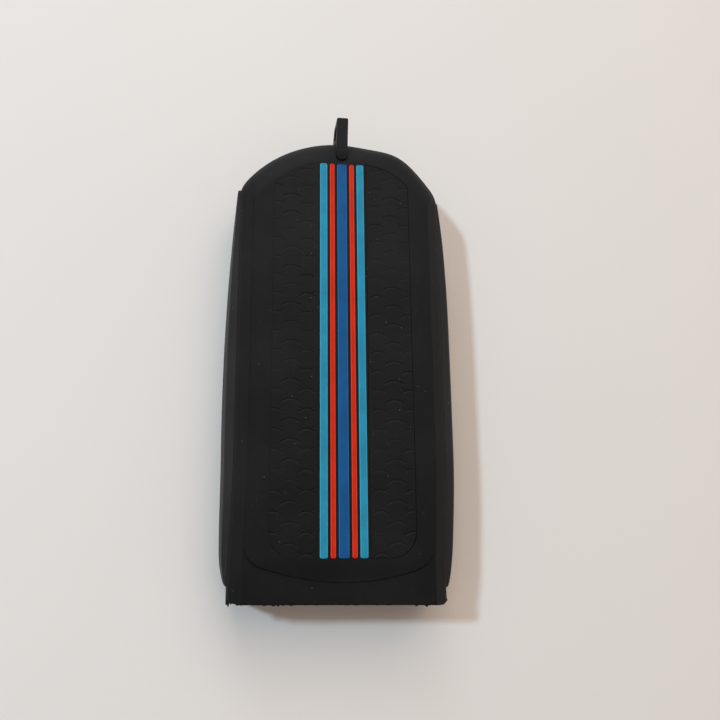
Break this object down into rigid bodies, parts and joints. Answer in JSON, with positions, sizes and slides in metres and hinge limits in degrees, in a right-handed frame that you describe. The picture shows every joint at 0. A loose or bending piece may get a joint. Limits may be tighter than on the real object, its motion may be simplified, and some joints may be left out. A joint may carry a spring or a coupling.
{
  "type": "key fob cover",
  "caption": "Soft moulded sleeve for a key fob: arched end with a ring tab, open mouth, side grips, striped back with tread relief, and press buttons on the front.",
  "frame": {"origin": "middle of the bounding box, on the surface that the cover lies on", "axes": "+X across the cover, +Y along it from the open mouth to the ring tab, +Z from the button face up to the striped back"},
  "size_m": [0.046, 0.0974, 0.0177],
  "materials": {
    "black_silicone": "soft matt moulded silicone",
    "grip_silicone": "satin moulded silicone",
    "tread_silicone": "matt moulded silicone with fine relief",
    "pad_silicone": "matt moulded silicone",
    "light_blue_silicone": "satin moulded silicone",
    "dark_blue_silicone": "satin moulded silicone",
    "red_silicone": "satin moulded silicone",
    "white_silicone": "satin moulded silicone"
  },
  "bodies": {
    "sleeve": {"front_shell": "black_silicone", "back_shell": "black_silicone", "left_grip": "grip_silicone", "right_grip": "grip_silicone", "ring_tab": "black_silicone", "left_tread_panel": "tread_silicone", "right_tread_panel": "tread_silicone", "left_side_stripe": "light_blue_silicone", "left_pin_stripe": "red_silicone", "middle_stripe": "dark_blue_silicone", "right_pin_stripe": "red_silicone", "right_side_stripe": "light_blue_silicone", "lock_web": "pad_silicone", "unlock_web": "pad_silicone", "boot_web": "pad_silicone", "light_web": "pad_silicone"},
    "lock_button": {"lock_pad": "pad_silicone", "lock_sign": "white_silicone"},
    "unlock_button": {"unlock_pad": "pad_silicone", "unlock_sign": "white_silicone"},
    "boot_button": {"boot_pad": "pad_silicone", "boot_sign": "white_silicone"},
    "light_button": {"light_pad": "pad_silicone", "light_sign": "white_silicone"}
  },
  "joints": [
    {"name": "lock_press", "type": "slide", "parent": "sleeve", "child": "lock_button", "axis": [0, 0, 1], "range_m": [0, 0.0008], "stiffness_N_per_m": 1500, "deforming": ["lock_web"]},
    {"name": "unlock_press", "type": "slide", "parent": "sleeve", "child": "unlock_button", "axis": [0, 0, 1], "range_m": [0, 0.0008], "stiffness_N_per_m": 1500, "deforming": ["unlock_web"]},
    {"name": "boot_press", "type": "slide", "parent": "sleeve", "child": "boot_button", "axis": [0, 0, 1], "range_m": [0, 0.0008], "stiffness_N_per_m": 1500, "deforming": ["boot_web"]},
    {"name": "light_press", "type": "slide", "parent": "sleeve", "child": "light_button", "axis": [0, 0, 1], "range_m": [0, 0.0008], "stiffness_N_per_m": 1500, "deforming": ["light_web"]}
  ]
}
